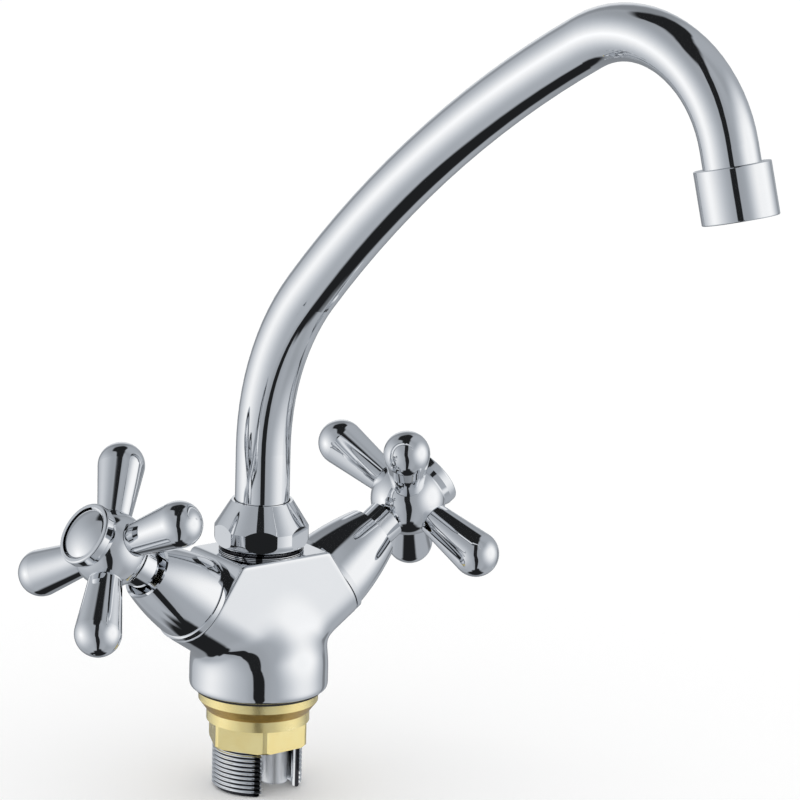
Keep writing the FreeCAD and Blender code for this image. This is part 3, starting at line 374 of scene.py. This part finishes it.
def smooth_by_angle(piece, angle):
    """Smooth shading, kept sharp where two faces meet at more than this angle."""
    mesh = bmesh.new()
    mesh.from_mesh(piece.data)
    limit = math.radians(angle)
    for face in mesh.faces:
        face.smooth = True
    for edge in mesh.edges:
        if len(edge.link_faces) == 2 and edge.calc_face_angle(0.0) > limit:
            edge.smooth = False
    mesh.to_mesh(piece.data)
    mesh.free()


def settle(piece, body, node, slot, material=None):
    """Finishes a piece that stands for a CAD node."""
    piece.data.materials.clear()
    piece.data.materials.append(material or MATERIALS[slot])
    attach(piece, body)
    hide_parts(node)


# The threaded shank: the thread that the CAD model leaves plain

shank_low, shank_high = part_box("threaded_shank")
SHANK_BOTTOM = shank_low.z
SHANK_TOP = shank_high.z
SHANK_BORE = 13.0*MM
SHANK_CHAMFER = 0.6*MM
NUT_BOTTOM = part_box("brass_locknut")[0].z
THREAD_ROOT = 15.35*MM
THREAD_CREST = 16.25*MM
HIDDEN_CREST = 15.7*MM
THREAD_PITCH = 1.667*MM
ROOT_SHARE = 0.14
FLANK_SHARE = 0.66
CREST_FADE = 0.4*THREAD_PITCH
# Painted shade: the share of the thread's depth, from the root, that is coloured near black
SHADED_ROOT_SHARE = 0.35
SLOT_HALF_WIDTH = 9.3*MM
SLOT_TURN = math.radians(6.6)
SLOT_TOP = -8.0*MM
SPARE = 2.0*MM


def clamp(value):
    return min(1.0, max(0.0, value))


def thread_radius(turns, height):
    """The thread's outline: steep flanks, low inside the nut and running out at the shank's end."""
    phase = abs((turns % 1.0)*2 - 1)
    wave = clamp((phase - ROOT_SHARE)/FLANK_SHARE)
    below_nut = clamp((NUT_BOTTOM - height)/CREST_FADE)
    crest = HIDDEN_CREST + (THREAD_CREST - HIDDEN_CREST)*below_nut
    radius = THREAD_ROOT + (crest - THREAD_ROOT)*wave
    run_out = clamp((height - SHANK_BOTTOM)/THREAD_PITCH)
    end = THREAD_ROOT - SHANK_CHAMFER*(1.0 - run_out)
    return end + (radius - THREAD_ROOT)*run_out


def slot_cutter():
    """A block for the slot at the shank's front, turned about the shank's axis."""
    mesh = bmesh.new()
    bmesh.ops.create_cube(mesh, size=1.0)
    depth = THREAD_CREST*1.5
    height = SLOT_TOP - SHANK_BOTTOM + SPARE
    turn = Matrix.Rotation(SLOT_TURN, 3, "Z")
    for vertex in mesh.verts:
        corner = Vector((vertex.co.x*2*SLOT_HALF_WIDTH, (vertex.co.y - 0.5)*depth,
                         vertex.co.z*height + SLOT_TOP - height/2))
        vertex.co = turn @ corner
    return new_piece("slot_cutter", mesh)


def make_shank():
    around = 240
    rows_per_pitch = 12
    length = SHANK_TOP - SHANK_BOTTOM
    rows = int(length/THREAD_PITCH*rows_per_pitch)
    mesh = bmesh.new()
    rings = []
    for row in range(rows + 1):
        height = SHANK_BOTTOM + length*row/rows
        ring = []
        for step in range(around):
            angle = 2*math.pi*step/around
            radius = thread_radius(height/THREAD_PITCH - step/around, height)
            ring.append(mesh.verts.new((radius*math.cos(angle), radius*math.sin(angle), height)))
        rings.append(ring)
    bore = turned_rings(mesh, ((SHANK_BORE, SHANK_TOP), (SHANK_BORE, SHANK_BOTTOM)), around)
    join_rings(mesh, rings + bore + rings[:1])
    shank = new_piece("shank_thread", mesh)
    combine(shank, "DIFFERENCE", slot_cutter())
    smooth_by_angle(shank, 35.0)
    # Painted shade in the thread's roots, standing in for the shade and dark reflections there
    shaded_root_edge = THREAD_ROOT + SHADED_ROOT_SHARE*(THREAD_CREST - THREAD_ROOT)
    painted_shade_ring = {"inner": SHANK_BORE + MM, "outer": shaded_root_edge, "low": SHANK_BOTTOM, "high": SHANK_TOP,
              "fade": 0.2*MM}
    settle(shank, "tap_body", "threaded_shank", "polished_chrome", chrome("thread_chrome", painted_shade_ring))


make_shank()


# The body casting: the CAD model's parting of foot, arms and flat faces, blended as a polished casting is

casting_low, casting_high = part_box("body_casting")
cold_valve = next(joint for joint in frame["joints"] if joint["name"] == "cold_valve")
ARM_TILT = math.atan2(cold_valve["axis"][2], cold_valve["axis"][0])
MEET_HEIGHT = cold_valve["pos_m"][2] - cold_valve["pos_m"][0]*math.tan(ARM_TILT)
ARM_RADIUS = 16.3*MM
ARM_END = 34.4*MM - INSET
FOOT_RADIUS = casting_high.y
UNDERSIDE = casting_low.z + INSET
BODY_TOP = 51.0*MM - INSET
SHOULDER_HEIGHT = 14.5*MM
SHOULDER_SLOPE = math.radians(31.0)
SHOULDER_BLEND = 4.5*MM
ARM_BLEND = 7.0*MM
EDGE_BLEND = 1.7*MM
LOWER_EDGE_BLEND = 3.2*MM
COLLAR_RADIUS = 15.4*MM - INSET
COLLAR_TOP = 52.2*MM - INSET
GROOVE_RADIUS = COLLAR_RADIUS - 1.0*MM
BOSS_RADIUS = 13.1*MM - INSET
BOSS_TOP = casting_high.z - INSET
BOSS_CHAMFER = 0.5*MM

# The collar's outline over the flat top: (radius, height)
COLLAR_OUTLINE = ((COLLAR_RADIUS, 0.0), (COLLAR_RADIUS, 0.12*MM), (GROOVE_RADIUS, 0.2*MM),
                  (GROOVE_RADIUS, 0.42*MM), (COLLAR_RADIUS, 0.5*MM), (COLLAR_RADIUS, 0.68*MM),
                  (GROOVE_RADIUS, 0.76*MM))

# The mesh's rings: where rays from the heart, closer together near the edges, leave the casting
HEART = 25.0*MM
NEAREST = 5.0*MM
FARTHEST = 70.0*MM
HALVINGS = 24
UNDERSIDE_RINGS = (12.0*MM, 20.0*MM)
LOWEST_RISE = math.radians(-52.0)
FOOT_RISE = math.radians(-39.5)
WALL_RISE = math.radians(-39.0)
RIM_SEARCH = (math.radians(-40.0), math.radians(80.0))
EDGE_RINGS = (-1.0, -0.75, -0.55, -0.4, -0.25, -0.1, 0.1, 0.25, 0.4, 0.55, 0.75, 1.0)
COLLAR_GAP = 0.05*MM
SQUEEZED_STEP = 0.002*MM

# Plugs round the CAD casting's bores: (radius, bottom, top), the last one along each arm from where they meet
PLUGS = {
    "middle_plug": (14.5*MM, 10.0*MM, 45.0*MM),
    "gasket_plug": (22.5*MM, -1.0*MM, 2.0*MM),
    "shank_plug": (17.5*MM, -1.5*MM, 12.0*MM),
    "spout_plug": (11.8*MM, 40.0*MM, 60.5*MM),
}
ARM_PLUG = (12.5*MM, 10.0*MM, 36.2*MM)


def blend_union(first, second, width):
    """The lower of two levels, with a soft blend where they differ by less than the width."""
    step = max(width - abs(first - second), 0.0)/width
    return min(first, second) - step*step*step*width/6


def blend_common(first, second, width):
    return -blend_union(-first, -second, width)


def skin_level(x, y, z):
    """Below 0 inside the foot and arms, about as deep as the point lies below their skin."""
    wall = math.hypot(x, y) - FOOT_RADIUS
    shoulder = wall*math.cos(SHOULDER_SLOPE) + (z - SHOULDER_HEIGHT)*math.sin(SHOULDER_SLOPE)
    foot = blend_common(wall, shoulder, SHOULDER_BLEND)
    above = (z - MEET_HEIGHT)*math.cos(ARM_TILT) - x*math.sin(ARM_TILT)
    arm = (y if above > 0 else math.hypot(y, above)) - ARM_RADIUS
    return blend_union(foot, arm, ARM_BLEND)


def end_levels(x, z):
    """Each below 0 inside its plane: the right arm's end and the flat top."""
    end = x*math.cos(ARM_TILT) + (z - MEET_HEIGHT)*math.sin(ARM_TILT) - ARM_END
    return end, z - BODY_TOP


def casting_level(x, y, z):
    """Below 0 inside the casting. By its symmetry x and y are taken as 0 or more."""
    end, top = end_levels(x, z)
    level = blend_common(skin_level(x, y, z), end, EDGE_BLEND)
    level = blend_common(level, top, EDGE_BLEND)
    return blend_common(level, UNDERSIDE - z, LOWER_EDGE_BLEND)


def halve(low, high, is_low):
    """The value between two others up to which a test is true."""
    for step in range(HALVINGS):
        middle = (low + high)/2
        if is_low(middle):
            low = middle
        else:
            high = middle
    return low


def evenly(start, end, count):
    return [start + (end - start)*step/(count - 1) for step in range(count)]


def casting_section(turn):
    """Points (distance from the axis, height) from the underside up to the flat top, for one direction."""
    side, front = math.sin(turn), math.cos(turn)

    def inside(distance, rise):
        across = distance*math.cos(rise)
        return casting_level(across*side, across*front, HEART + distance*math.sin(rise)) < 0

    def point(rise):
        distance = halve(NEAREST, FARTHEST, lambda reach: inside(reach, rise))
        return distance*math.cos(rise), HEART + distance*math.sin(rise)

    def on_skin(rise):
        across, height = point(rise)
        return skin_level(across*side, across*front, height) > max(end_levels(across*side, height))

    rim = halve(*RIM_SEARCH, on_skin)
    across, height = point(rim)
    offset = 1.1*EDGE_BLEND/math.hypot(across, height - HEART)
    corner_across = (ARM_END - (BODY_TOP - MEET_HEIGHT)*math.sin(ARM_TILT))/math.cos(ARM_TILT)
    corner = max(math.atan2(BODY_TOP - HEART, corner_across/max(side, 0.01)), rim + 3*offset)
    rises = evenly(LOWEST_RISE, FOOT_RISE, 26)
    rises += evenly(WALL_RISE, rim - 1.6*offset, 85)
    rises += [rim + offset*edge for edge in EDGE_RINGS]
    rises += evenly(rim + 1.5*offset, corner - 1.5*offset, 10)
    rises += [corner + offset*edge for edge in EDGE_RINGS]
    points = []
    for index, rise in enumerate(rises):
        across, height = point(rise)
        smallest = COLLAR_RADIUS + COLLAR_GAP + SQUEEZED_STEP*(len(rises) - index)
        if height > HEART and across < smallest:
            across, height = smallest, BODY_TOP
        points.append((across, height))
    return points


def make_casting():
    quarter = 96
    sections = [casting_section(math.pi/2*step/quarter) for step in range(quarter + 1)]
    underside = [(radius, UNDERSIDE) for radius in UNDERSIDE_RINGS]
    boss = [(radius, BODY_TOP + height) for radius, height in COLLAR_OUTLINE]
    boss += [(GROOVE_RADIUS, COLLAR_TOP), (BOSS_RADIUS, COLLAR_TOP), (BOSS_RADIUS, BOSS_TOP - BOSS_CHAMFER),
             (BOSS_RADIUS - BOSS_CHAMFER, BOSS_TOP)]
    mesh = bmesh.new()
    columns = []
    for step in range(4*quarter):
        fold = step % (2*quarter)
        section = sections[fold if fold <= quarter else 2*quarter - fold]
        turn = math.pi/2*step/quarter
        column = []
        for across, height in underside + section + boss:
            column.append(mesh.verts.new((across*math.sin(turn), -across*math.cos(turn), height)))
        columns.append(column)
    rings = list(zip(*columns))
    join_rings(mesh, rings)
    close_ends(mesh, rings, (0.0, 0.0, UNDERSIDE), (0.0, 0.0, BOSS_TOP))
    casting = new_piece("polished_casting", mesh)
    combine(casting, "DIFFERENCE", make_hollows())
    smooth_by_angle(casting, 28.0)
    # Painted shade: the collar under the spout nut is coloured near black, as the gap under the nut is in shade
    painted_shade_ring = {"inner": BOSS_RADIUS + 0.2*MM, "outer": COLLAR_RADIUS - 0.1*MM, "low": BODY_TOP + 0.1*MM,
              "high": COLLAR_TOP + 0.1*MM, "fade": 0.1*MM}
    settle(casting, "tap_body", "body_casting", "polished_chrome", chrome("casting_chrome", painted_shade_ring))


def arm_place(side):
    """From the Z axis to the axis of the left arm (-1) or the right one (1), where the arms meet."""
    lean = Matrix.Rotation(side*(math.pi/2 - ARM_TILT), 4, "Y")
    return Matrix.Translation((0.0, 0.0, MEET_HEIGHT)) @ lean


def make_hollows():
    """The CAD casting's bores, as a solid: simple plugs round them, less the casting itself."""
    cylinders = [solid_cylinder(name, *sizes) for name, sizes in PLUGS.items()]
    cylinders += [solid_cylinder("arm_plug", *ARM_PLUG, arm_place(side)) for side in (-1, 1)]
    hollows = cylinders[0]
    for cylinder in cylinders[1:]:
        combine(hollows, "UNION", cylinder)
    mesh = bmesh.new()
    mesh.from_mesh(frame["nodes"]["body_casting"].data)
    bmesh.ops.remove_doubles(mesh, verts=mesh.verts, dist=1e-7)
    combine(hollows, "DIFFERENCE", new_piece("casting_copy", mesh))
    return hollows


make_casting()


# The index caps: slightly domed, each in the recess of its handle's hub

# Heights are along the arm's axis, from where the arms meet
CAP_BOTTOM = 88.7*MM
CAP_RADIUS = 9.3*MM
CAP_SIDE_TOP = 91.0*MM
CAP_DOME_RADIUS = 9.1*MM
CAP_DOME_EDGE = 91.2*MM
CAP_EDGE_SLOPE = math.radians(29.0)


def make_cap(side, word):
    dome_rings = 20
    sphere = CAP_DOME_RADIUS/math.sin(CAP_EDGE_SLOPE)
    centre = CAP_DOME_EDGE - sphere*math.cos(CAP_EDGE_SLOPE)
    outline = [(CAP_RADIUS, CAP_BOTTOM), (CAP_RADIUS, CAP_SIDE_TOP)]
    for step in range(dome_rings):
        slope = CAP_EDGE_SLOPE*(1 - step/dome_rings)
        outline.append((sphere*math.sin(slope), centre + sphere*math.cos(slope)))
    place = arm_place(side)
    mesh = bmesh.new()
    rings = turned_rings(mesh, outline, around=96, place=place)
    join_rings(mesh, rings)
    ends = [place @ Vector((0.0, 0.0, height)) for height in (CAP_BOTTOM, centre + sphere)]
    close_ends(mesh, rings, *ends)
    cap = new_piece(word + "_domed_cap", mesh)
    smooth_by_angle(cap, 20.0)
    settle(cap, word + "_handle", word + "_index_cap", "polished_chrome")


make_cap(-1, "hot")
make_cap(1, "cold")


# The base gasket, squeezed out a little between the base and the washer

gasket_low, gasket_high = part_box("base_gasket")
GASKET_INNER = 15.8*MM
GASKET_SEAT = gasket_high.x - INSET
GASKET_TOP = gasket_high.z - INSET
GASKET_BOTTOM = gasket_low.z

# The bead outside the seat: (radius, height)
GASKET_BEAD = ((21.68*MM, GASKET_BOTTOM), (21.72*MM, -0.95*MM), (22.3*MM, -1.1*MM), (22.8*MM, -0.95*MM),
               (23.1*MM, GASKET_BOTTOM), (23.1*MM, -0.25*MM), (22.9*MM, 0.0))


def make_gasket():
    outline = [(GASKET_INNER, GASKET_BOTTOM), *GASKET_BEAD]
    outline += [(GASKET_SEAT, 0.0), (GASKET_SEAT, GASKET_TOP), (GASKET_INNER, GASKET_TOP)]
    mesh = bmesh.new()
    rings = turned_rings(mesh, outline, around=192)
    join_rings(mesh, rings + rings[:1])
    gasket = new_piece("squeezed_gasket", mesh)
    smooth_by_angle(gasket, 40.0)
    settle(gasket, "tap_body", "base_gasket", "black_rubber")


make_gasket()


# Camera, where the photograph was taken from

CAMERA_AZIMUTH = math.radians(-35.14)
CAMERA_ELEVATION = math.radians(16.55)
CAMERA_ROLL = math.radians(-1.14)
CAMERA_DISTANCE = 2.0788
FOCAL_PIXELS = 5787.3
IMAGE_PIXELS = 800.0
TARGET = Vector((0.0, 0.0, 0.033))
TARGET_PIXEL = (260.19, 597.18)
SENSOR_MM = 36.0


def add_camera():
    level = Vector((math.sin(CAMERA_AZIMUTH), -math.cos(CAMERA_AZIMUTH), 0.0))
    toward = level*math.cos(CAMERA_ELEVATION) + Vector((0.0, 0.0, math.sin(CAMERA_ELEVATION)))
    right = Vector((math.cos(CAMERA_AZIMUTH), math.sin(CAMERA_AZIMUTH), 0.0))
    facing = Matrix((right, toward.cross(right), -toward))
    rolled = Matrix.Rotation(CAMERA_ROLL, 3, "Z")
    across, down = ((pixel - IMAGE_PIXELS/2)/FOCAL_PIXELS for pixel in TARGET_PIXEL)
    ray = Vector((across, -down, 1.0)).normalized()
    aim = Vector((0.0, 0.0, 1.0)).rotation_difference(ray).to_matrix()
    axes = aim @ rolled @ facing
    data = bpy.data.cameras.new("camera")
    data.sensor_width = SENSOR_MM
    data.sensor_height = SENSOR_MM
    data.sensor_fit = "HORIZONTAL"
    data.lens = FOCAL_PIXELS*SENSOR_MM/IMAGE_PIXELS
    data.clip_start = 0.05
    data.clip_end = 50.0
    camera = bpy.data.objects.new("camera", data)
    bpy.context.scene.collection.objects.link(camera)
    rotation = Matrix((axes[0], axes[1], -axes[2])).transposed()
    camera.matrix_world = Matrix.Translation(TARGET + toward*CAMERA_DISTANCE) @ rotation.to_4x4()
    bpy.context.scene.camera = camera


add_camera()


# World: a photographer's light tent, seen by the metal, over an even pale light

# Angles are in degrees. The azimuth is 0 at the front and grows to the right, and the elevation is 0 at the
# horizon. Pairs of angles are where something begins and where it is full.

# The dark gap between the tent's two panels, next to the camera: (elevation, azimuth or half width)
GAP_CENTRE = ((-90, -36), (-60, -33), (-40, -32.5), (-17, -34), (0, -37.5), (12, -40), (25, -40), (40, -39),
              (60, -39), (90, -39))
GAP_HALF_WIDTH = ((-90, 14), (-60, 9), (-40, 8.5), (-17, 9.5), (0, 8.5), (12, 9), (25, 9.5), (40, 11.5),
                  (60, 15), (90, 21))
GAP_BLUR = 1.2

# The panels' upper and lower edges: (azimuth, elevation)
PANEL_TOP = ((-180, 51), (-150, 54), (-120, 70), (-90, 65), (-60, 56), (-35, 57), (-10, 68), (20, 75),
             (60, 76), (100, 68), (130, 51), (155, 55), (180, 51))
PANEL_BOTTOM = ((-180, -62), (-140, -73), (-110, -78), (-80, -73), (-50, -72), (-20, -62), (10, -70),
                (50, -72), (90, -64), (130, -61), (180, -62))
EDGE_BLUR = 4.0

# The panels' even light: (azimuth, strength)
EVEN_LIGHT = ((-180, 0.36), (-150, 0.34), (-120, 0.37), (-60, 0.385), (-30, 0.37), (0, 0.42), (30, 0.37),
              (60, 0.41), (90, 0.43), (120, 0.39), (150, 0.25), (180, 0.36))
LOW_LEFT_LIGHT = {"elevations": (10.0, -35.0), "azimuths": (-45.0, -60.0), "strength": 0.07}

# The lamps that glow through the panels: where each is, the angles from there at which its light ends and is
# full, how much steeper it fades across, above and below, and its strength
LAMPS = (
    {"azimuth": 46.0, "elevation": 8.3, "fade": (44.7, 9.9), "across": 0.75, "above": 1.0, "below": 0.73,
     "strength": 0.64},
    {"azimuth": -122.7, "elevation": -5.4, "fade": (63.0, -42.0), "across": 0.77, "above": 1.0, "below": 1.07,
     "strength": 1.19},
    {"azimuth": 148.0, "elevation": 8.7, "fade": (26.0, 6.0), "across": 1.1, "above": 1.0, "below": 1.0,
     "strength": 0.53},
)

# A post at the right that shades the panels
POST = {"azimuth": 104.0, "half_widths": (9.0, 3.0), "bottom": (-34.0, -24.0), "top": (0.0, -8.0),
        "shade": 0.5}

DARK = 0.016
DIM_TINT = (0.93, 0.985, 1.06)
TINTED_LEVELS = (0.45, 1.0)
WHITE = (1.0, 1.0, 1.0)
PALE_LIGHT = 1.04


def glow(build, azimuth, elevation, lamp):
    """A lamp's light in each direction."""
    across = build.math("MULTIPLY", build.math("SUBTRACT", azimuth, lamp["azimuth"]), lamp["across"])
    up = build.math("SUBTRACT", elevation, lamp["elevation"])
    above = build.math("MULTIPLY", build.math("MAXIMUM", up, 0.0), lamp["above"])
    below = build.math("MULTIPLY", build.math("MINIMUM", up, 0.0), lamp["below"])
    rise = build.math("ADD", above, below)
    square = build.math("ADD", build.math("MULTIPLY", across, across), build.math("MULTIPLY", rise, rise))
    return build.math("MULTIPLY", build.smooth(build.math("SQRT", square), *lamp["fade"]), lamp["strength"])


def panel_mask(build, azimuth, elevation):
    """1 on the tent's panels, and 0 in the gap between them and beyond their edges."""
    from_centre = build.math("SUBTRACT", azimuth, build.curve(elevation, 90.0, GAP_CENTRE))
    half_width = build.curve(elevation, 90.0, GAP_HALF_WIDTH)
    beside_gap = build.math("SUBTRACT", build.math("ABSOLUTE", from_centre), half_width)
    over_top = build.math("SUBTRACT", elevation, build.curve(azimuth, 180.0, PANEL_TOP))
    over_bottom = build.math("SUBTRACT", elevation, build.curve(azimuth, 180.0, PANEL_BOTTOM))
    return build.math("MULTIPLY", build.smooth(beside_gap, -GAP_BLUR, GAP_BLUR),
                      build.smooth(over_top, EDGE_BLUR, -EDGE_BLUR),
                      build.smooth(over_bottom, -EDGE_BLUR, EDGE_BLUR))


def panel_light(build, azimuth, elevation):
    """How bright the panels are: their even light with some more low on the left, the lamps and the post."""
    low_left = build.math("MULTIPLY", build.smooth(elevation, *LOW_LEFT_LIGHT["elevations"]),
                          build.smooth(azimuth, *LOW_LEFT_LIGHT["azimuths"]), LOW_LEFT_LIGHT["strength"])
    glows = [glow(build, azimuth, elevation, lamp) for lamp in LAMPS]
    light = build.math("ADD", build.curve(azimuth, 180.0, EVEN_LIGHT), low_left, *glows)
    beside_post = build.math("ABSOLUTE", build.math("SUBTRACT", azimuth, POST["azimuth"]))
    post = build.math("MULTIPLY", build.smooth(beside_post, *POST["half_widths"]),
                      build.smooth(elevation, *POST["bottom"]), build.smooth(elevation, *POST["top"]))
    unshaded = build.math("SUBTRACT", 1.0, build.math("MULTIPLY", post, POST["shade"]))
    return build.math("MULTIPLY", light, unshaded)


def add_world():
    world = bpy.data.worlds.new("studio")
    bpy.context.scene.world = world
    world.use_nodes = True
    world.node_tree.nodes.clear()
    build = Nodes(world.node_tree)
    direction = build.add("TexCoord", {}).outputs["Generated"]
    x, y, z = build.add("SeparateXYZ", {"Vector": direction}).outputs
    elevation = build.math("DEGREES", build.math("ARCSINE", z))
    azimuth = build.math("DEGREES", build.math("ARCTAN2", x, build.math("MULTIPLY", y, -1.0)))
    light = panel_light(build, azimuth, elevation)
    mask = panel_mask(build, azimuth, elevation)
    level = build.math("ADD", build.math("MULTIPLY", light, mask), DARK)
    tint = build.mix(build.ramp(level, 0.0, 1.0, *TINTED_LEVELS), DIM_TINT, WHITE)
    tent = build.add("Background", {"Color": tint, "Strength": level}).outputs[0]
    pale = build.add("Background", {"Color": (*WHITE, 1.0), "Strength": PALE_LIGHT}).outputs[0]
    backdrop = build.add("Background", {"Color": (*WHITE, 1.0), "Strength": 1.0}).outputs[0]
    path = build.add("LightPath", {}).outputs
    lit = build.add("MixShader", {0: path["Is Glossy Ray"], 1: pale, 2: tent}).outputs[0]
    seen = build.add("MixShader", {0: path["Is Camera Ray"], 1: lit, 2: backdrop}).outputs[0]
    build.add("OutputWorld", {"Surface": seen})


add_world()


# Floor

FLOOR_HEIGHT = cad_low[2]
FLOOR_HALF_WIDTH = 6.0
FLOOR_TONES = ((0.97, 0.97, 0.97), (0.985, 0.985, 0.985))


def add_floor():
    mesh = bpy.data.meshes.new("floor")
    half = FLOOR_HALF_WIDTH
    corners = [(x, y, FLOOR_HEIGHT) for x, y in ((-half, -half), (half, -half), (half, half), (-half, half))]
    mesh.from_pydata(corners, [], [(0, 1, 2, 3)])
    floor = bpy.data.objects.new("floor", mesh)
    bpy.context.scene.collection.objects.link(floor)
    finish = Finish("pale_floor")
    grain = finish.noise(per_metre=3.0, detail=2.0)
    mesh.materials.append(finish.dress({
        "Base Color": finish.mix(grain, *FLOOR_TONES),
        "Roughness": 0.9,
        "Specular IOR Level": 0.0,
    }))
    floor.visible_glossy = False


add_floor()

bpy.context.scene.view_settings.view_transform = "Standard"

bpy.context.view_layer.update()
